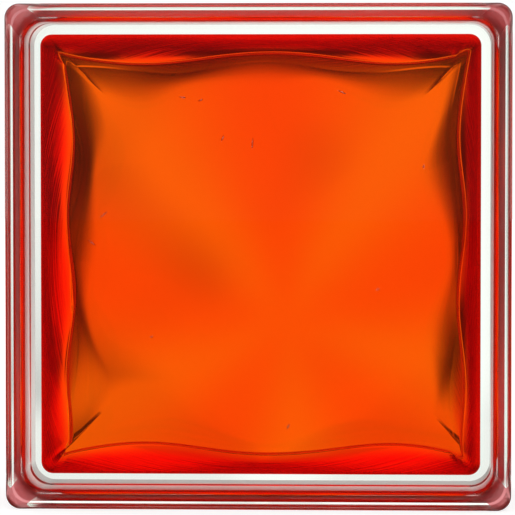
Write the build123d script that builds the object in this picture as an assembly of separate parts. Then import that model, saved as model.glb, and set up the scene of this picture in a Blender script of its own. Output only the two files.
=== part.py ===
from build123d import *

import os
from math import atan2, cos, degrees, hypot, pi, radians, sin, tan

# Hollow glass block with wavy inner faces, standing on one edge.
#
# The block is two identical pressed half shells, turned face to face and fused along a seam. Each half shell
# is a tray of glass: a flat outer face with a rounded lip all round, a side wall set back behind the lip to
# leave a key for mortar, and a hollow whose bottom is the wavy inner face.
#
# A half shell is drawn with its seam on the plane z = 0 and its outer face on top. In the finished block X
# runs along the width, Y from the front face to the rear face and Z up, with the origin on the ground under
# the middle of the block.

# Overall block, in millimetres
face_size = 190.0  # width and height over the lips
block_depth = 80.0  # from the front face to the rear face

# Lip round each face
lip_corner_radius = 5.5  # corners of the face, seen from the front
lip_face_radius = 2.0  # round between the face and the edge of the lip
lip_flat = 6.0  # flat edge of the lip that meets the mortar joint
lip_back_radius = 1.5  # round where the edge of the lip turns into its back
lip_back_flat = 0.2  # level ring of the back, inside that round
lip_back_angle = 24.6  # degrees by which the rest of the back slopes towards the seam

# Mortar key behind the lip
key_depth = 6.5  # how far the side wall stands back from the lip
key_corner_radius = 8.0
key_root_radius = 5.0  # hollow round between the back of the lip and the side wall

# Fused seam round the side wall
seam_height = 1.2
seam_half_width = 4.0
seam_crest_radius = 3.0

# Glass round the hollow
wall_thickness = 4.2  # side wall at the seam
hollow_corner_radius = 4.0  # upright corners of the hollow
hollow_draft = 7.0  # degrees by which the hollow narrows towards the face
pane_thickness = 9.0  # mean thickness of the glass behind the face

# Broad swells of the inner face, in rows across and up
swell_height = 1.5  # from the mean level to a crest
swell_length_x = 89.0  # from crest to crest
swell_length_up = 81.0
swell_centre_x = 4.5  # one crest, from the middle of the face
swell_centre_up = -3.0

# Fan of folds that lies over the swells
fold_height = 0.4  # from the mean level to a crest, far out
fold_count = 5
fold_direction = 130.0  # degrees, the way in which one fold runs out
fold_centre_x = 10.0  # where the folds run together, from the middle of the face
fold_centre_up = -27.0
fold_start = 32.0  # distance from there at which the folds have half of their height

# Rolled edges that carry the inner face into the side walls
roll_radius = 7.0
roll_foot_angle = 70.0  # degrees, slope of the roll where it meets the wall
roll_head_angle = 45.0  # degrees, slope of the roll where it meets the mean level of the waves

# Fitting of the wavy surfaces and finding of edges
wave_samples = 21  # points along each side
sheet_tolerance = 0.05
level_tolerance = 0.01  # within which an edge counts as lying on a level
overrun = 4.0  # by which a cutting body passes the face that it cuts

half_depth = block_depth / 2
key_size = face_size - 2 * key_depth
hollow_size = key_size - 2 * wall_thickness
pane_level = half_depth - pane_thickness
roll_axis_level = pane_level - roll_radius * cos(radians(roll_head_angle))
roll_foot_level = roll_axis_level + roll_radius * cos(radians(roll_foot_angle))
roll_foot_half = hollow_size / 2 - roll_foot_level * tan(radians(hollow_draft))
roll_axis_half = roll_foot_half - roll_radius * sin(radians(roll_foot_angle))
lip_back_level = half_depth - lip_face_radius - lip_flat - lip_back_radius
lip_back_run = key_depth - lip_back_radius - lip_back_flat
lip_back_drop = lip_back_run * tan(radians(lip_back_angle))
lip_foot_level = lip_back_level - lip_back_drop


def rounded_square(size, radius, level):
    """A square outline with rounded corners, level with the given height above the seam."""
    return Plane.XY.offset(level) * RectangleRounded(size, size, radius)


def edges_round(body, level, nearest, farthest):
    """The edges on one level of a body whose middles lie between two distances from its axis."""
    edges = body.edges().filter_by_position(Axis.Z, level - level_tolerance, level + level_tolerance)
    return [edge for edge in edges if nearest < max(abs(edge.center().X), abs(edge.center().Y)) < farthest]


def outer_half():
    """Half of the solid block: side wall, seam ridge and lip, with their rounds."""
    side_wall = extrude(rounded_square(key_size, key_corner_radius, 0), amount=half_depth)
    lip_outline = rounded_square(face_size, lip_corner_radius, lip_back_level)
    body = side_wall + extrude(lip_outline, amount=half_depth - lip_back_level)
    mid_key = (key_size + key_depth) / 2
    lip_back = body.faces().filter_by(Axis.Z).sort_by(Axis.Z)[1]
    root = edges_round(body, lip_back_level, 0, mid_key)
    body = chamfer(root, lip_back_run, lip_back_drop, reference=lip_back)
    body = fillet(edges_round(body, lip_foot_level, 0, mid_key), key_root_radius)
    lip_edge = face_size / 2 - lip_back_radius
    body = fillet(edges_round(body, lip_back_level, lip_edge, face_size), lip_back_radius)
    body = fillet(edges_round(body, half_depth, mid_key, face_size), lip_face_radius)
    return body + seam_ridge()


def seam_ridge():
    """Half of the low ridge that the fused rims leave, highest at the seam, fading into the side wall."""
    ridge_outline = rounded_square(key_size + 2 * seam_height, key_corner_radius + seam_height, 0)
    slope = degrees(atan2(seam_height, seam_half_width))
    return extrude(ridge_outline, amount=seam_half_width, taper=slope)


def wave(x, up):
    """Height of the waves: swells, a cosine across times a cosine up, and the folds over them."""
    across = cos(2 * pi * (x - swell_centre_x) / swell_length_x)
    upward = cos(2 * pi * (up - swell_centre_up) / swell_length_up)
    return swell_height * across * upward + fold(x, up)


def fold(x, up):
    """Height of the folds: a cosine of the direction from their centre, which grows with the distance."""
    distance = hypot(x - fold_centre_x, up - fold_centre_up)
    direction = atan2(up - fold_centre_up, x - fold_centre_x)
    growth = distance**2 / (distance**2 + fold_start**2)
    return fold_height * growth * cos(fold_count * (direction - radians(fold_direction)))


def plunger():
    """The body under the waves of the inner face, wider than the hollow."""
    reach = hollow_size / 2 + overrun
    places = [2 * reach * i / (wave_samples - 1) - reach for i in range(wave_samples)]
    points = [[(x, up, pane_level + wave(x, up)) for x in places] for up in places]
    sheet = Face.make_surface_from_array_of_points(points, tol=sheet_tolerance, min_deg=3, max_deg=3)
    return Solid.extrude(sheet, Vector(0, 0, -block_depth))


def roll_bar():
    """The glass over the rolled edge along one side of the hollow: a bar with a round cut out of it."""
    bar_width = hollow_size / 2 + overrun - roll_axis_half
    axis = Pos(roll_axis_half, roll_axis_level)
    bar = axis * Rectangle(bar_width, block_depth, align=(Align.MIN, Align.MIN))
    section = bar - axis * Circle(roll_radius)
    return extrude(Plane.XZ * section, amount=hollow_size, both=True)


def hollow_half():
    """Half of the hollow: walls with draft and rounded corners, ended by the waves and the rolled edges."""
    walls = extrude(Rectangle(hollow_size, hollow_size), amount=half_depth, taper=hollow_draft)
    upright = [edge for edge in walls.edges() if edge.bounding_box().size.Z > overrun]
    hollow = fillet(upright, hollow_corner_radius) & plunger()
    for side in range(4):
        hollow = hollow - Rot(0, 0, 90 * side) * roll_bar()
    return hollow


def half_shell():
    """One pressed half: the outer form with the hollow pressed into it."""
    return outer_half() - hollow_half()


def seam_crest(block):
    """The edges of a fused block that run along the top of its seam ridge, outside the side wall."""
    mid_wall = (hollow_size + wall_thickness) / 2
    middle = Vector(0, 0, face_size / 2)
    rim = block.edges().filter_by_position(Axis.Y, -level_tolerance, level_tolerance)
    offsets = [edge.center() - middle for edge in rim]
    return [edge for edge, offset in zip(rim, offsets) if max(abs(offset.X), abs(offset.Z)) > mid_wall]


def glass_block():
    """Two half shells turned face to face, fused at the seam and stood on one edge."""
    half = half_shell()
    middle = (0, 0, face_size / 2)
    front = Plane(middle, x_dir=(1, 0, 0), z_dir=(0, -1, 0)) * half
    rear = Plane(middle, x_dir=(-1, 0, 0), z_dir=(0, 1, 0)) * half
    block = front + rear
    return fillet(seam_crest(block), seam_crest_radius)


block = glass_block()
os.makedirs("parts", exist_ok=True)
export_step(block, "parts/glass_block.step")
print("solids", len(block.solids()), "volume", round(block.volume), "valid", block.is_valid)
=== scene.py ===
"""Studio scene of a hollow glass building block with a red-orange film on the walls of its hollow.

The block is one piece of glass with two skins: the outer skin, clear pressed glass, and the skin of the sealed
hollow, which carries the film. Both are worked out as rounded squares carried along a section, in metres. A few
seeds, small bubbles, lie in the glass between them.
"""

from types import SimpleNamespace

import bmesh
import bpy
import numpy as np
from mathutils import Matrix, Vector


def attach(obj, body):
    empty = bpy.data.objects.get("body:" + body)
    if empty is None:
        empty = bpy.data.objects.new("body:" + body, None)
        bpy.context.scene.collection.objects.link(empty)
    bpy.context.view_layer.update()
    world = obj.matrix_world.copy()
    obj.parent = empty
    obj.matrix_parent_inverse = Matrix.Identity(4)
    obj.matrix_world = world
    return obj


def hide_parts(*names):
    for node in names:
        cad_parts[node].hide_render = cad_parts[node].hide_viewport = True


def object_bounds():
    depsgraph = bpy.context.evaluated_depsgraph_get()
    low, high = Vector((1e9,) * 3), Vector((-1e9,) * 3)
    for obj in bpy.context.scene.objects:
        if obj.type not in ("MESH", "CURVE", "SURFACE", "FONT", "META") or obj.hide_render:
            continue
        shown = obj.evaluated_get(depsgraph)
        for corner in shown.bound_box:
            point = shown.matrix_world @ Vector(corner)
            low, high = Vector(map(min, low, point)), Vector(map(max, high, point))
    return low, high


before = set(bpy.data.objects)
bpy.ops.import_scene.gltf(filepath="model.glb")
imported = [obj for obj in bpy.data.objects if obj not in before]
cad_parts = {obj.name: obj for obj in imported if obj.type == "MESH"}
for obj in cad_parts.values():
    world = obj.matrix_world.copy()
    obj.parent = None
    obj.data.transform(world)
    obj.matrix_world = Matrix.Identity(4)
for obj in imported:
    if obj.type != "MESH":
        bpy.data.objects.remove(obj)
cad_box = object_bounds()

MM = 0.001

# Overall block, from the frame
half_face = (cad_box[1].x - cad_box[0].x) / 2
half_depth = (cad_box[1].y - cad_box[0].y) / 2
middle_height = (cad_box[0].z + cad_box[1].z) / 2

# Lip round each face
lip_corner_radius = 5.5 * MM  # corners of the face, seen from the front
smallest_face_corner = 1.0 * MM  # corners of the rings on the flat face
lip_face_radius = 2.0 * MM  # round between the face and the edge of the lip
face_support = 0.3 * MM  # flat ring of the face beside that round
lip_flat = 6.0 * MM  # edge of the lip behind that round that still counts as its front
lip_back_radius = 0.6 * MM  # round where the edge of the lip turns into its back
lip_back_level = 31.0 * MM  # where the edge and the back would meet, above the seam
lip_back_slope = np.tan(np.radians(24.6))  # by which the back falls towards the seam
lip_ring_start = 1.7 * MM  # level ring in the back, from the edge of the lip
lip_ring_end = 2.4 * MM
lip_ring_radius = 0.4 * MM  # rounds on both sides of the ring

# Mortar key behind the lip, and the fused seam
key_depth = 6.5 * MM
key_corner_radius = 8.0 * MM
key_root_radius = 5.0 * MM  # hollow round between the back of the lip and the side wall
key_wall_start = 5.6 * MM  # from the edge of the lip, where the grainy skin starts
seam_height = 1.2 * MM
seam_half_width = 4.0 * MM
seam_foot_radius = 2.0 * MM

# Rings of the outer skin
face_rings = np.array([0.0, 0.3, 0.6, 0.85])  # shares of the half face
round_steps = 10  # along each round of the section
outer_track_steps = (12, 8)  # round a corner, along a side
corner_share = 0.99  # nearness to a corner's centre from which a point belongs to the corner
wall_grain = 1.0  # marks the key wall
# the corner mark gives more roughness and the key glass's painted shade in the corners behind the lips
corner_grain_and_shade = 2.0  # marks the corners behind the lips

# Hollow
wall_thickness = 4.2 * MM  # side wall at the seam
hollow_corner_radius = 4.5 * MM  # upright corners at the seam
corner_closing = 0.35  # by which these corners sharpen for each step inwards
sharpest_corner = 0.4 * MM
hollow_draft = np.radians(7.0)  # by which the hollow narrows towards each face
pane_thickness = 9.0 * MM  # mean thickness of the glass behind a face

# Rolled edges that carry an inner face into the walls
roll_radius = 44.0 * MM
roll_head_angle = np.radians(57.0)  # slope of the roll at the mean level of the waves
roll_foot_angle = np.pi / 2 - hollow_draft  # slope of the roll where it touches the wall

# Crease where the waves meet the roll
crease_wobble = np.array([1.3, 2.6]) * MM  # along the left and right, along top and bottom
crease_length = np.array([97.0, 62.0]) * MM  # of one wobble, across and up
crease_centre = np.array([5.0, 14.0]) * MM  # one crest of the wobble, across and up
crease_corner_power = 8  # the higher, the closer to the corner its reach begins
fillet_length = 1.2 * MM  # short soft edge of the waves at the crease
lead_length = 9.0 * MM  # long soft edge of the waves at the crease, on average
lead_spread = 0.45  # share by which that length changes round the crease
lead_wave = 64.0 * MM  # length of that change
front_crease = SimpleNamespace(
    inset=2.4 * MM,  # by which the crease stands inside the roll's plain line
    shift=np.array([2.9, 1.0]) * MM,  # of the whole crease, across and up
    ripple=1.0,  # share of the wobble
    corner=2.0 * MM,  # reach into the corners
    fillet_slope=np.tan(np.radians(35.0)),
    lead_slope=0.0,
)
rear_crease = SimpleNamespace(
    inset=3.2 * MM,
    shift=np.array([0.0, -3.4]) * MM,
    ripple=0.3,
    corner=0.0,
    fillet_slope=0.0,
    lead_slope=np.tan(np.radians(50.0)),
)
crease_passes = 12  # until the crease has settled on the waves
crease_cosines = (0.2, 0.98)  # limits of the roll's slope at the crease, as cosines

# Rings of the hollow's skin, as shares, closer together near the crease
pane_spans = [np.linspace(0, 0.84, 32)[:-1], np.linspace(0.84, 0.98, 14), np.linspace(0.98, 1, 6)[1:]]
pane_rings = np.concatenate(pane_spans)[:, None]  # of the way from the pane's middle to the crease
roll_rings = np.concatenate([[0.02, 0.05], np.linspace(0, 1, 22)[2:]])[:, None]  # of the roll, from the crease on
wall_rings = np.linspace(1, 0, 9)[1:, None]  # of the level of the roll's foot, down to the seam
hollow_track_steps = (8, 64)  # round a corner, along a side

# Waves of the inner faces
swell_height = 1.15 * MM  # from the mean level to a crest
swell_length = np.array([89.0, 81.0]) * MM  # from crest to crest, across and up
swell_centre = np.array([4.5, -3.0]) * MM  # one crest, from the middle of the face
fold_height = 0.35 * MM  # from the mean level to a crest, far out
fold_count = 5
fold_direction = np.radians(130.0)  # the way in which one fold runs out
fold_centre = np.array([10.0, -27.0]) * MM  # where the folds run together
fold_start = 32.0 * MM  # distance from there at which the folds have half of their height

# Seeds, small drawn-out bubbles in the front pane: across, up and half length in millimetres, direction in degrees
seeds = np.array([
    (-2.0, 42.7, 1.9, 85.0),
    (-13.2, 44.6, 1.1, 70.0),
    (-58.0, 15.9, 1.6, 40.0),
    (-62.5, 5.4, 1.8, -35.0),
    (11.4, -63.6, 1.0, 60.0),
    (31.5, 61.8, 1.5, -25.0),
    (-28.2, 59.9, 1.2, -10.0),
    (-21.5, 58.8, 0.9, 20.0),
    (-40.0, -30.0, 0.5, 0.0),
    (45.0, -12.0, 0.5, 0.0),
    (62.0, 34.0, 0.6, 80.0),
])
seed_radius = 0.3 * MM
seed_depth = 4.5 * MM  # behind the front face
seed_rings = 9
seed_sides = 10

# Points closer than this are one point
pole_tolerance = 0.0001 * MM

# Clear and grainy glass; the grainy glass carries painted red light and painted shade
glass_index = 1.52
glass_colour = (0.9, 0.95, 0.89, 1)
edge_roughness = 0.1  # of the clear glass where it meets the grainy glass
# pink of the key glass: painted red light, for the film's red light that falls on the key wall
key_painted_red_light = (0.95, 0.24, 0.23, 1)
# darker colour of the corners behind the lips: painted shade
corner_painted_shade = (0.6, 0.07, 0.08, 1)
key_clearness = 0.9
key_roughness = 0.3
key_grain_size = 0.9 * MM
key_grain_strength = 0.25
relief_depth = 0.3 * MM
noise_detail = 3.0
noise_middle = 0.5

# Film on the walls of the hollow, with 1 as its usual thickness
film_colour = (1.0, 0.28, 0.012)  # of light that passes it once
film_gloss_colour = (1.0, 0.08, 0.0, 1)
film_fold_share = 0.15  # by which it is thinner on the crests of the folds
wall_film = 2.0  # thickness on the walls
wall_film_start = 0.08  # shares of the roll between which it thickens
wall_film_end = 0.4
film_wall_roughness = 0.3  # as the air in the hollow meets it
film_mirror_roughness = 0.15  # as the light in the glass meets it
streak_round = 40.0 * MM  # radius of the circle that takes the streaks round the hollow
streak_width = 1.1 * MM
streak_stretch = 0.06  # the lower, the longer the streaks
streak_film = 1.4  # change of thickness in a streak
streak_strength = 0.8

# Studio: strengths, where 1 is white, and angles from the line through the block's faces
backdrop_level = 1.12
backdrop_across = np.radians(20.0)  # to where it has half of its strength
backdrop_up = np.radians(23.0)
backdrop_turn = np.radians(3.0)  # of its middle to the right
backdrop_fade = 0.75  # half width of its soft edge, as a share of these angles
box_level = 1.3
box_start = np.radians(57.0)  # where the soft boxes start
box_fade = np.radians(8.0)  # width of their soft edge
box_top_start = 0.7  # upward shares of a direction between which the side boxes end
box_top_end = 0.85
fill_level = 0.06  # in the dark gap
matt_level = 0.8  # as matt surfaces meet it

# Floor
floor_level = 1.0
floor_fade = -0.3  # upward share of a direction at which the floor has its full strength
floor_blend = 0.4  # softness of the change from the backdrop to the floor
floor_reach = 4.0
floor_colour = (0.4, 0.4, 0.4, 1)
floor_glow_near = 0.7  # to the camera, under the block
floor_glow_gain = 0.3  # added to it far out
floor_glow_start = 0.3  # distances between which it is added
floor_glow_end = 1.2
mirror_share = 0.92  # of the floor's matt light that mirrors leave out

# Camera, from the middle of the front face, and the width of its frame there
camera_offset = np.array([0.044, -1.1, 0.044])
picture_width = 515.0
block_width = 508.0  # in the same picture
frame_width = 2 * half_face * picture_width / block_width
sensor_width = 36.0

# Section of the hollow, from the values above: levels above the seam and distances from the block's axis
seam_half = half_face - key_depth - wall_thickness
pane_level = half_depth - pane_thickness
roll_axis_level = pane_level - roll_radius * np.cos(roll_head_angle)
roll_foot_level = roll_axis_level + roll_radius * np.cos(roll_foot_angle)
roll_foot_half = seam_half - roll_foot_level * np.tan(hollow_draft)
roll_axis_half = roll_foot_half - roll_radius * np.sin(roll_foot_angle)


def square_track(corner_steps, side_steps):
    """Directions round a square with rounded corners: the sign of the corner's centre, c, and the normal, n.

    One quarter is an arc from 0 to a right angle and then a run along the side; the four quarters are that one
    turned by right angles. A ring of half size h and corner radius r is then c * (h - r) + n * r.
    """
    arc = np.linspace(0, np.pi / 2, corner_steps + 1)
    run = np.linspace(1, -1, side_steps + 1)[1:-1]
    angle = np.concatenate([arc, np.full(run.size, np.pi / 2)])
    corner = np.stack([np.concatenate([np.ones(arc.size), run]), np.ones(angle.size)], 1)
    normal = np.stack([np.cos(angle), np.sin(angle)], 1)
    turn = np.arange(4) * np.pi / 2
    turns = np.stack([[np.cos(turn), -np.sin(turn)], [np.sin(turn), np.cos(turn)]]).transpose(2, 0, 1)
    c = np.einsum("qij,kj->qki", turns, corner).reshape(-1, 2)
    n = np.einsum("qij,kj->qki", turns, normal).reshape(-1, 2)
    return c, n


def carry_round(half, radius, track):
    """Rings of rounded squares: each corner's centre at half minus radius, plus the radius along the normal."""
    c, n = track
    return c * (half - radius)[..., None] + n * radius[..., None]


def hollow_rings(half, track):
    """Rings of the hollow, whose half size may change along the track; their corners sharpen inwards."""
    radius = np.clip(hollow_corner_radius - (seam_half - half) * corner_closing, sharpest_corner, None)
    return carry_round(half, np.minimum(radius, half), track)


def ring_quads(rows, columns):
    """Quads of a grid of rings that closes on itself along the columns."""
    row = np.arange(rows - 1)[:, None]
    column = np.arange(columns)[None, :]
    here, below = row * columns, (row + 1) * columns
    after = (column + 1) % columns
    return np.stack([here + column, here + after, below + after, below + column], -1).reshape(-1, 4)


def front_and_rear(front, rear):
    """Rings of the front half, from the middle of its face to the seam, then those of the rear half backwards."""
    return np.concatenate([front, rear[-2::-1]])


def rounded_line(points, radii, steps):
    """A line through points with its corners rounded: at each corner an arc that touches both of its runs."""
    points = np.asarray(points, float)
    line = [points[:1]]
    for before, corner, after, radius in zip(points, points[1:], points[2:], radii):
        u = (before - corner) / np.linalg.norm(before - corner)
        v = (after - corner) / np.linalg.norm(after - corner)
        half_angle = np.arccos(np.clip(u @ v, -1, 1)) / 2
        centre = corner + (u + v) / np.linalg.norm(u + v) * radius / np.sin(half_angle)
        start, end = corner + np.array([u, v]) * radius / np.tan(half_angle) - centre
        first = np.arctan2(start[1], start[0])
        sweep = (np.arctan2(end[1], end[0]) - first + np.pi) % (2 * np.pi) - np.pi
        angle = first + sweep * np.linspace(0, 1, steps + 1)
        line.append(centre + radius * np.stack([np.cos(angle), np.sin(angle)], 1))
    return np.concatenate(line + [points[-1:]])


def waves(x, up):
    """Height of an inner face's waves: a cosine across times a cosine up, plus the folds."""
    phase_x = 2 * np.pi * (x - swell_centre[0]) / swell_length[0]
    phase_up = 2 * np.pi * (up - swell_centre[1]) / swell_length[1]
    return swell_height * np.cos(phase_x) * np.cos(phase_up) + fold_height * folds(x, up)


def folds(x, up):
    """Fan of folds, from -1 to 1: a cosine of the direction from its centre, which grows with the distance."""
    dx, dup = x - fold_centre[0], up - fold_centre[1]
    distance2 = dx**2 + dup**2
    growth = distance2 / (distance2 + fold_start**2)
    return growth * np.cos(fold_count * (np.arctan2(dup, dx) - fold_direction))


def outer_section():
    """Inset from the lip's edge and level above the seam along the outer skin, from the face to the seam."""
    ring_level = lip_back_level - lip_ring_start * lip_back_slope
    root_level = ring_level - (key_depth - lip_ring_end) * lip_back_slope
    points = [
        (lip_face_radius + face_support, half_depth),
        (0, half_depth),
        (0, lip_back_level),
        (lip_ring_start, ring_level),
        (lip_ring_end, ring_level),
        (key_depth, root_level),
        (key_depth, seam_half_width),
        (key_depth - seam_height, 0),
    ]
    radii = [lip_face_radius, lip_back_radius, lip_ring_radius, lip_ring_radius, key_root_radius, seam_foot_radius]
    return rounded_line(points, radii, round_steps)


def outer_skin():
    """Points, quads and grain of the outer skin: flat face, lip, key and seam, then the same mirrored.

    Before the lip's back the corner radius shrinks with the inset; behind it the radius goes from the lip's to
    the key's with the inset.
    """
    inset, level = outer_section().T
    half = np.concatenate([half_face * face_rings, half_face - inset])
    level = np.concatenate([np.full(face_rings.size, half_depth), level])
    inset = half_face - half
    lip_end = half_depth - lip_face_radius - lip_flat
    face_radius = np.clip(lip_corner_radius - inset, smallest_face_corner, None)
    key_share = np.clip(inset / key_depth, 0, 1)
    key_radius = lip_corner_radius + (key_corner_radius - lip_corner_radius) * key_share
    radius = np.minimum(np.where(level > lip_end, face_radius, key_radius), half)
    behind = level < lip_end
    on_wall = behind & (inset > key_wall_start)
    half, radius, behind, on_wall = (front_and_rear(a, a) for a in (half, radius, behind, on_wall))
    level = front_and_rear(level, -level)
    track = square_track(*outer_track_steps)
    xz = carry_round(half[:, None], radius[:, None], track)
    at_corner = np.abs(track[0]).min(1) > corner_share
    grain = np.maximum(on_wall[:, None] * wall_grain, (behind[:, None] & at_corner) * corner_grain_and_shade)
    y = np.broadcast_to(-level[:, None], grain.shape)
    points = np.stack([xz[..., 0], y, xz[..., 1] + middle_height], -1)
    return points.reshape(-1, 3), ring_quads(*grain.shape)[:, ::-1], grain.reshape(-1)


def soft_edge(distance, length, slope):
    """Drop of a soft edge: a parabola, level at a length from the crease and with the slope at the crease."""
    return np.clip(length - distance, 0, None) ** 2 * slope / (2 * length)


def edge_drop(distance, reach, crease):
    """Drop of the waves at a distance from a crease: its short soft edge plus its long one, of the given reach."""
    short = soft_edge(distance, fillet_length, crease.fillet_slope)
    return short + soft_edge(distance, reach, crease.lead_slope)


def find_crease(side, crease, track):
    """Roll's slope at its crease, reach of the long soft edge there, and the crease's place across and up.

    The slope is the inverse cosine of the dropped waves' level over the roll's axis, divided by the roll's
    radius. The waves at the crease depend on its place, and so on the slope, so passes are made until it settles.
    """
    head = np.full(len(track[0]), roll_head_angle)
    for _ in range(crease_passes):
        x, up = hollow_rings(roll_axis_half + roll_radius * np.sin(head), track).T
        reach = lead_length * (1 + lead_spread * np.sin(2 * np.pi * (side * x + up) / lead_wave))
        rise = pane_level - roll_axis_level + waves(side * x, up) - edge_drop(0, reach, crease)
        head = np.arccos(np.clip(rise / roll_radius, *crease_cosines))
    return head, reach, x, up


def crease_outline(side, crease, x, up, track):
    """How far a crease stands outside the roll's plain line, at places along the track.

    It is a cosine of the way up along the left and right and of the way across along top and bottom, plus a reach
    into the corners, a high power of the nearness to them, plus the shift along the normal, less the inset.
    """
    c, n = track
    phase_x = 2 * np.pi * (side * x - crease_centre[0]) / crease_length[0]
    phase_up = 2 * np.pi * (up - crease_centre[1]) / crease_length[1]
    beside, above = (n**2).T
    wobble = crease_wobble[0] * beside * np.cos(phase_up) + crease_wobble[1] * above * np.cos(phase_x)
    corner = np.abs(c).min(1) ** crease_corner_power
    return crease.ripple * wobble + crease.corner * corner + n @ (crease.shift * [side, 1]) - crease.inset


def hollow_half(side, crease, track):
    """Places across and up and levels above the seam of half of the hollow, from its pane's middle on.

    The pane's rings are shares of the way from its middle to the crease, at the level of the waves less their
    drop. The roll is an arc that touches the drafted wall; at the crease it stands out by the crease's outline,
    and less and less towards the wall. The wall's rings go straight down to the seam. The side is 1 for the front
    half and -1 for the rear half, whose waves are turned round with it.
    """
    head, reach, x, up = find_crease(side, crease, track)
    outline = crease_outline(side, crease, x, up, track)
    crease_half = roll_axis_half + roll_radius * np.sin(head) + outline
    slope = head + (roll_foot_angle - head) * roll_rings
    roll_half = roll_axis_half + roll_radius * np.sin(slope) + outline * (1 - roll_rings)
    wall_level = np.broadcast_to(roll_foot_level * wall_rings, (wall_rings.size, head.size))
    wall_half = seam_half - wall_level * np.tan(hollow_draft)
    half = np.concatenate([crease_half * pane_rings, roll_half, wall_half])
    x, up = np.moveaxis(hollow_rings(half, track), -1, 0)
    pane = slice(pane_rings.size)
    drop = edge_drop(crease_half * (1 - pane_rings), reach, crease)
    sheet = pane_level + waves(side * x[pane], up[pane]) - drop
    return x, up, np.concatenate([sheet, roll_axis_level + roll_radius * np.cos(slope), wall_level])


def film_layer(x, up):
    """Thickness of the film and mask of the wall, on the rings of half of the hollow.

    The mask is 0 on the pane, rises evenly along the roll and is 1 on the wall. The film is thinner on the crests
    of the pane's folds, and goes to its thickness on the wall with the mask.
    """
    on_roll = np.clip((roll_rings - wall_film_start) / (wall_film_end - wall_film_start), 0, 1)
    wall = np.concatenate([np.zeros_like(pane_rings), on_roll, np.ones_like(wall_rings)])
    film = 1 - film_fold_share * folds(x, up) * (1 - wall) + (wall_film - 1) * wall
    return film, np.broadcast_to(wall, film.shape)


def hollow_skin():
    """Points, quads, film thickness, wall mask and streak places of the hollow: front half, then rear half.

    The streak places lie on a circle, by the share of the way round, and rise with the length along the section,
    so the streaks close on themselves round the hollow. The rear half has the front half's film.
    """
    track = square_track(*hollow_track_steps)
    front_x, front_up, front_level = hollow_half(1, front_crease, track)
    rear_x, rear_up, rear_level = hollow_half(-1, rear_crease, track)
    film, wall = (front_and_rear(a, a) for a in film_layer(front_x, front_up))
    x = front_and_rear(front_x, rear_x)
    y = front_and_rear(-front_level, rear_level)
    points = np.stack([x, y, front_and_rear(front_up, rear_up) + middle_height], -1)
    steps = np.linalg.norm(np.diff(points, axis=0), axis=-1)
    along = np.concatenate([np.zeros_like(x[:1]), steps.cumsum(0)])
    turn = np.broadcast_to(np.linspace(0, 2 * np.pi, x.shape[1], endpoint=False), x.shape)
    sweep = np.stack([streak_round * np.cos(turn), streak_round * np.sin(turn), along], -1)
    return points.reshape(-1, 3), ring_quads(*x.shape), film.reshape(-1), wall.reshape(-1), sweep.reshape(-1, 3)


def seed_bubbles():
    """Points and quads of the seeds: spheres drawn out along one direction, with their faces inwards.

    A sphere is a circle round its long axis times the sine of the angle from one end, and the cosine along it.
    """
    end = np.linspace(0, np.pi, seed_rings)[:, None]
    turn = np.linspace(0, 2 * np.pi, seed_sides, endpoint=False)
    x, up, half_length = seeds.T[:3, :, None, None] * MM
    direction = np.radians(seeds.T[3, :, None, None])
    along = half_length * np.cos(end)
    beside = seed_radius * np.sin(end) * np.cos(turn)
    deep = seed_radius * np.sin(end) * np.sin(turn) - half_depth + seed_depth
    across = x + along * np.cos(direction) - beside * np.sin(direction)
    height = up + along * np.sin(direction) + beside * np.cos(direction) + middle_height
    points = np.stack([across, np.broadcast_to(deep, across.shape), height], -1)
    first = np.arange(len(seeds))[:, None, None] * seed_rings * seed_sides
    return points.reshape(-1, 3), (ring_quads(seed_rings, seed_sides) + first).reshape(-1, 4)


def glass_block():
    """The block as one mesh: the outer skin faces outwards, the hollow's and the seeds' face into their air."""
    outer, outer_quads, grain = outer_skin()
    hollow, hollow_quads, film, wall, sweep = hollow_skin()
    seed, seed_quads = seed_bubbles()
    points = np.concatenate([outer, hollow, seed])
    quads = np.concatenate([outer_quads, hollow_quads + len(outer), seed_quads + len(outer) + len(hollow)])
    mesh = bpy.data.meshes.new("glass_block_dressed")
    mesh.from_pydata(points, [], quads.tolist())
    no_outer, no_hollow, no_seed = (np.zeros(len(skin)) for skin in (outer, hollow, seed))
    values = {
        "grain": [grain, no_hollow, no_seed],
        "film": [no_outer, film, no_seed],
        "wall": [no_outer, wall, no_seed],
    }
    for name, skins in values.items():
        mesh.attributes.new(name, "FLOAT", "POINT").data.foreach_set("value", np.concatenate(skins))
    places = np.concatenate([outer, sweep, seed])
    mesh.attributes.new("sweep", "FLOAT_VECTOR", "POINT").data.foreach_set("vector", places.reshape(-1))
    clear, filmed, grainy = range(3)
    material = np.full(len(quads), clear)
    material[: len(outer_quads)] = np.where(grain[outer_quads].min(1) > 0, grainy, clear)
    material[len(outer_quads) : len(outer_quads) + len(hollow_quads)] = filmed
    mesh.polygons.foreach_set("material_index", material)
    mesh.polygons.foreach_set("use_smooth", np.ones(len(quads), bool))
    close_poles(mesh)
    for finish in (clear_pressed_glass(), red_orange_film(), grainy_key_glass_painted_light()):
        mesh.materials.append(finish)
    piece = bpy.data.objects.new("glass_block_dressed", mesh)
    bpy.context.collection.objects.link(piece)
    return piece


def close_poles(mesh):
    """Merges the points that lie on each other in the middle of each face and at the ends of the seeds."""
    work = bmesh.new()
    work.from_mesh(mesh)
    bmesh.ops.remove_doubles(work, verts=work.verts, dist=pole_tolerance)
    work.to_mesh(mesh)
    work.free()


def add_node(tree, kind, inputs=None, **settings):
    """A node of a kind with its settings. Its inputs, by name or place, are linked to sockets or set to values."""
    node = tree.nodes.new(kind)
    for name, value in settings.items():
        setattr(node, name, value)
    for name, value in (inputs or {}).items():
        if isinstance(value, bpy.types.NodeSocket):
            tree.links.new(value, node.inputs[name])
        else:
            node.inputs[name].default_value = value
    return node


def math_node(tree, operation, *numbers):
    """Output of a Math node, from sockets or plain numbers."""
    return add_node(tree, "ShaderNodeMath", dict(enumerate(numbers)), operation=operation).outputs[0]


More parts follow.
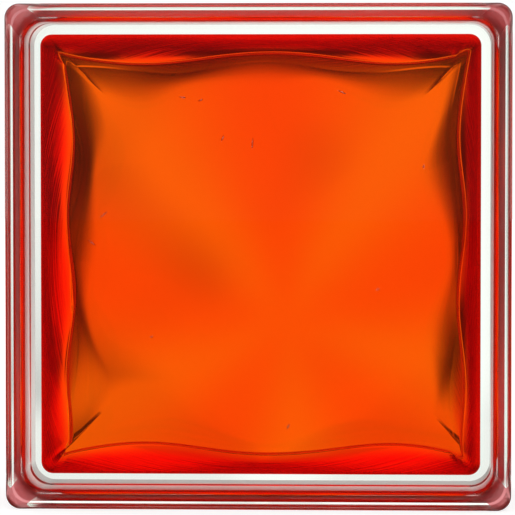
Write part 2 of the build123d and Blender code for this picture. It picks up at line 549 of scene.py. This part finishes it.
def soft_step(tree, value, start, end):
    """A mask that goes smoothly from 0 at the start to 1 at the end."""
    limits = {"Value": value, "From Min": start, "From Max": end}
    return add_node(tree, "ShaderNodeMapRange", limits, interpolation_type="SMOOTHSTEP").outputs[0]


def point_value(tree, name, output="Fac"):
    """Output of a value that the mesh's points carry."""
    return add_node(tree, "ShaderNodeAttribute", attribute_name=name).outputs[output]


def mix_shaders(tree, share, first, second):
    """Output of a mix: the first shader at a share of 0, the second at 1."""
    return add_node(tree, "ShaderNodeMixShader", {0: share, 1: first, 2: second}).outputs[0]


def relief_normal(tree, height, strength):
    """Normal of a surface with a shallow relief of the given height, as a share of its depth."""
    inputs = {"Height": height, "Strength": strength, "Distance": relief_depth}
    return add_node(tree, "ShaderNodeBump", inputs).outputs[0]


def new_material(name):
    """An empty material, its tree and the socket for its surface."""
    material = bpy.data.materials.new(name)
    material.use_nodes = True
    tree = material.node_tree
    tree.nodes.clear()
    return material, tree, tree.nodes.new("ShaderNodeOutputMaterial").inputs["Surface"]


def film_tint_group():
    """Node group: the colour that light takes in the film, when it passes once, and when it passes twice.

    Each channel of the film's colour is raised to the number of passes, and then to the film's thickness.
    """
    group = bpy.data.node_groups.new("film tint", "ShaderNodeTree")
    group.interface.new_socket("Thickness", in_out="INPUT", socket_type="NodeSocketFloat")
    start = group.nodes.new("NodeGroupInput")
    end = group.nodes.new("NodeGroupOutput")
    for name, passes in (("Once", 1), ("Twice", 2)):
        group.interface.new_socket(name, in_out="OUTPUT", socket_type="NodeSocketColor")
        thickness = start.outputs["Thickness"]
        channels = [math_node(group, "POWER", value**passes, thickness) for value in film_colour]
        colour = add_node(group, "ShaderNodeCombineColor", dict(enumerate(channels)))
        group.links.new(colour.outputs[0], end.inputs[name])
    return group


def clear_pressed_glass():
    """Clear glass, faintly green, a little rough where it meets the grainy glass."""
    material, tree, surface = new_material("clear pressed glass")
    glass = add_node(tree, "ShaderNodeBsdfPrincipled", {
        "Base Color": glass_colour,
        "Roughness": math_node(tree, "MULTIPLY", point_value(tree, "grain"), edge_roughness),
        "IOR": glass_index,
        "Transmission Weight": 1.0,
    })
    tree.links.new(glass.outputs[0], surface)
    return material


def red_orange_film():
    """Glass surface under the film: light that passes it, or is thrown back into the glass, takes its colour.

    From the air it is one glass shader, which takes the root of its base colour for light that passes. From
    inside the glass the passing and the thrown back light have a shader each, mixed by Fresnel's share. On the
    wall a noise, drawn out round the hollow, changes the film's thickness and gives the surface streaks.
    """
    material, tree, surface = new_material("red orange film")
    wall = point_value(tree, "wall")
    drawn_out = add_node(tree, "ShaderNodeVectorMath", {
        0: point_value(tree, "sweep", "Vector"),
        1: (streak_stretch, streak_stretch, 1),
    }, operation="MULTIPLY")
    noise = add_node(tree, "ShaderNodeTexNoise", {
        "Vector": drawn_out.outputs[0],
        "Scale": 1 / streak_width,
        "Detail": noise_detail,
    })
    streak = math_node(tree, "MULTIPLY", math_node(tree, "SUBTRACT", noise.outputs["Fac"], noise_middle), wall)
    normal = relief_normal(tree, streak, streak_strength)
    thickness = math_node(tree, "MULTIPLY_ADD", streak, streak_film, point_value(tree, "film"))
    tint = add_node(tree, "ShaderNodeGroup", {"Thickness": thickness}, node_tree=film_tint_group())
    from_air = add_node(tree, "ShaderNodeBsdfPrincipled", {
        "Base Color": tint.outputs["Twice"],
        "Roughness": math_node(tree, "MULTIPLY", wall, film_wall_roughness),
        "IOR": glass_index,
        "Normal": normal,
        "Specular Tint": film_gloss_colour,
        "Transmission Weight": 1.0,
    })
    roughness = math_node(tree, "MULTIPLY", wall, film_mirror_roughness)
    passing = add_node(tree, "ShaderNodeBsdfRefraction", {
        "Color": tint.outputs["Once"],
        "Roughness": roughness,
        "IOR": glass_index,
        "Normal": normal,
    })
    thrown_back = add_node(tree, "ShaderNodeBsdfGlossy", {
        "Color": tint.outputs["Twice"],
        "Roughness": roughness,
        "Normal": normal,
    })
    fresnel = add_node(tree, "ShaderNodeFresnel", {"IOR": glass_index}).outputs[0]
    from_glass = mix_shaders(tree, fresnel, passing.outputs[0], thrown_back.outputs[0])
    in_glass = tree.nodes.new("ShaderNodeNewGeometry").outputs["Backfacing"]
    tree.links.new(mix_shaders(tree, in_glass, from_air.outputs[0], from_glass), surface)
    return material


def grainy_key_glass_painted_light():
    """Slightly frosted, grainy glass of the key wall, pink with painted red light from the film, and of the
    corners behind the lips, in a darker colour that is painted shade.
    """
    material, tree, surface = new_material("grainy key glass, painted light")
    # share of the painted shade: 1 in the corners behind the lips, 0 on the key wall, where the pink is painted
    # red light
    at_corner = math_node(tree, "SUBTRACT", point_value(tree, "grain"), wall_grain)
    # A colour mix has its share at input 0, its colours at inputs 6 and 7 and its result at output 2.
    colour = add_node(tree, "ShaderNodeMix", {0: at_corner, 6: key_painted_red_light, 7: corner_painted_shade}, data_type="RGBA")
    grain = add_node(tree, "ShaderNodeTexNoise", {
        "Vector": tree.nodes.new("ShaderNodeTexCoord").outputs["Object"],
        "Scale": 1 / key_grain_size,
        "Detail": noise_detail,
    })
    glass = add_node(tree, "ShaderNodeBsdfPrincipled", {
        "Base Color": colour.outputs[2],
        "Roughness": key_roughness,
        "IOR": glass_index,
        "Normal": relief_normal(tree, grain.outputs["Fac"], key_grain_strength),
        "Transmission Weight": key_clearness,
    })
    tree.links.new(glass.outputs[0], surface)
    return material


def studio_group():
    """Node group: how bright the studio is in a direction, as the glass sees it.

    A bright backdrop lies behind the block and in front of it. Its ellipse fades into a dark gap, which ends at
    broad soft boxes on the left, on the right and above. The floor is bright below all of them.
    """
    group = bpy.data.node_groups.new("studio light", "ShaderNodeTree")
    group.interface.new_socket("Direction", in_out="INPUT", socket_type="NodeSocketVector")
    group.interface.new_socket("Backdrop", in_out="OUTPUT", socket_type="NodeSocketFloat")
    group.interface.new_socket("Boxes", in_out="OUTPUT", socket_type="NodeSocketFloat")
    start = group.nodes.new("NodeGroupInput")
    end = group.nodes.new("NodeGroupOutput")
    unit = add_node(group, "ShaderNodeVectorMath", {0: start.outputs[0]}, operation="NORMALIZE")
    x, y, z = add_node(group, "ShaderNodeSeparateXYZ", {0: unit.outputs[0]}).outputs
    depth = math_node(group, "ABSOLUTE", y)
    across = math_node(group, "ARCTAN2", x, depth)
    up = math_node(group, "ARCTAN2", z, depth)

    across_share = math_node(group, "DIVIDE", math_node(group, "SUBTRACT", across, backdrop_turn), backdrop_across)
    up_share = math_node(group, "MAXIMUM", math_node(group, "DIVIDE", up, backdrop_up), 0.0)
    up_square = math_node(group, "MULTIPLY", up_share, up_share)
    spread = math_node(group, "SQRT", math_node(group, "MULTIPLY_ADD", across_share, across_share, up_square))
    inside = soft_step(group, spread, 1 + backdrop_fade, 1 - backdrop_fade)
    backdrop = math_node(group, "MULTIPLY", inside, backdrop_level)
    floor = math_node(group, "MULTIPLY", soft_step(group, z, 0.0, floor_fade), floor_level)
    group.links.new(math_node(group, "SMOOTH_MAX", backdrop, floor, floor_blend), end.inputs["Backdrop"])

    beside = soft_step(group, math_node(group, "ABSOLUTE", across), box_start, box_start + box_fade)
    beside = math_node(group, "MULTIPLY", beside, soft_step(group, z, box_top_end, box_top_start))
    above = soft_step(group, up, box_start, box_start + box_fade)
    boxes = math_node(group, "MULTIPLY", math_node(group, "MAXIMUM", beside, above), box_level)
    group.links.new(boxes, end.inputs["Boxes"])
    return group


def soft_white(studio):
    """Floor material: matt white that glows to the camera, a little more far out.

    Light that comes through the glass meets only the studio's brightness in the floor's direction from the block,
    and mirrors meet only a small share of the matt white.
    """
    material, tree, surface = new_material("soft white floor")
    place = tree.nodes.new("ShaderNodeTexCoord").outputs["Object"]
    from_block = add_node(tree, "ShaderNodeVectorMath", {0: place, 1: (0, 0, middle_height)}, operation="SUBTRACT")
    light = add_node(tree, "ShaderNodeGroup", {"Direction": from_block.outputs[0]}, node_tree=studio)
    distance = add_node(tree, "ShaderNodeVectorMath", {0: place}, operation="LENGTH").outputs["Value"]
    path = tree.nodes.new("ShaderNodeLightPath")
    through = path.outputs["Is Transmission Ray"]
    lit = math_node(tree, "MAXIMUM", light.outputs["Backdrop"], light.outputs["Boxes"])
    lit_through = math_node(tree, "MULTIPLY", lit, through)
    far = soft_step(tree, distance, floor_glow_start, floor_glow_end)
    near_and_far = math_node(tree, "MULTIPLY_ADD", far, floor_glow_gain, floor_glow_near)
    strength = math_node(tree, "MULTIPLY_ADD", near_and_far, path.outputs["Is Camera Ray"], lit_through)
    glow = add_node(tree, "ShaderNodeEmission", {"Strength": strength}).outputs[0]
    matt = add_node(tree, "ShaderNodeBsdfDiffuse", {"Color": floor_colour}).outputs[0]
    matt_and_glow = add_node(tree, "ShaderNodeAddShader", {0: matt, 1: glow}).outputs[0]
    mirrored = math_node(tree, "MULTIPLY", path.outputs["Is Glossy Ray"], mirror_share)
    glow_only = math_node(tree, "MAXIMUM", through, mirrored)
    tree.links.new(mix_shaders(tree, glow_only, matt_and_glow, glow), surface)
    return material


def pale_floor(studio):
    """A level square of soft white under the block, with the block's shadow on it."""
    mesh = bpy.data.meshes.new("floor")
    corners = floor_reach * np.array([(-1, -1, 0), (1, -1, 0), (1, 1, 0), (-1, 1, 0)])
    mesh.from_pydata(corners, [], [(0, 1, 2, 3)])
    mesh.materials.append(soft_white(studio))
    floor = bpy.data.objects.new("floor", mesh)
    bpy.context.collection.objects.link(floor)


def studio_world(studio):
    """The studio round the block: white to the camera, the backdrop and the soft boxes to the glass."""
    world = bpy.data.worlds.new("studio")
    bpy.context.scene.world = world
    world.use_nodes = True
    tree = world.node_tree
    tree.nodes.clear()
    output = tree.nodes.new("ShaderNodeOutputWorld")
    direction = tree.nodes.new("ShaderNodeTexCoord").outputs["Generated"]
    light = add_node(tree, "ShaderNodeGroup", {"Direction": direction}, node_tree=studio)
    path = tree.nodes.new("ShaderNodeLightPath")
    through = math_node(tree, "MULTIPLY", light.outputs["Backdrop"], path.outputs["Is Transmission Ray"])
    matt = math_node(tree, "MULTIPLY", path.outputs["Is Diffuse Ray"], matt_level)
    level = math_node(tree, "MAXIMUM", light.outputs["Boxes"], fill_level)
    for other in (through, path.outputs["Is Camera Ray"], matt):
        level = math_node(tree, "MAXIMUM", level, other)
    background = add_node(tree, "ShaderNodeBackground", {"Color": (1, 1, 1, 1), "Strength": level})
    tree.links.new(background.outputs[0], output.inputs["Surface"])


def photo_camera():
    """The camera in front of the face, a little up and to the right of its middle, turned to look at it."""
    away = np.linalg.norm(camera_offset)
    data = bpy.data.cameras.new("camera")
    data.sensor_width = sensor_width
    data.lens = sensor_width * away / frame_width
    camera = bpy.data.objects.new("camera", data)
    camera.location = camera_offset + np.array([0, -half_depth, middle_height])
    tilt = np.arccos(camera_offset[2] / away)
    turn = np.arctan2(camera_offset[0], -camera_offset[1])
    camera.rotation_euler = (tilt, 0, turn)
    bpy.context.collection.objects.link(camera)
    bpy.context.scene.camera = camera


block = glass_block()
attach(block, "root")
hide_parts("glass_block")

studio = studio_group()
pale_floor(studio)
studio_world(studio)
photo_camera()
bpy.context.scene.view_settings.view_transform = "Standard"
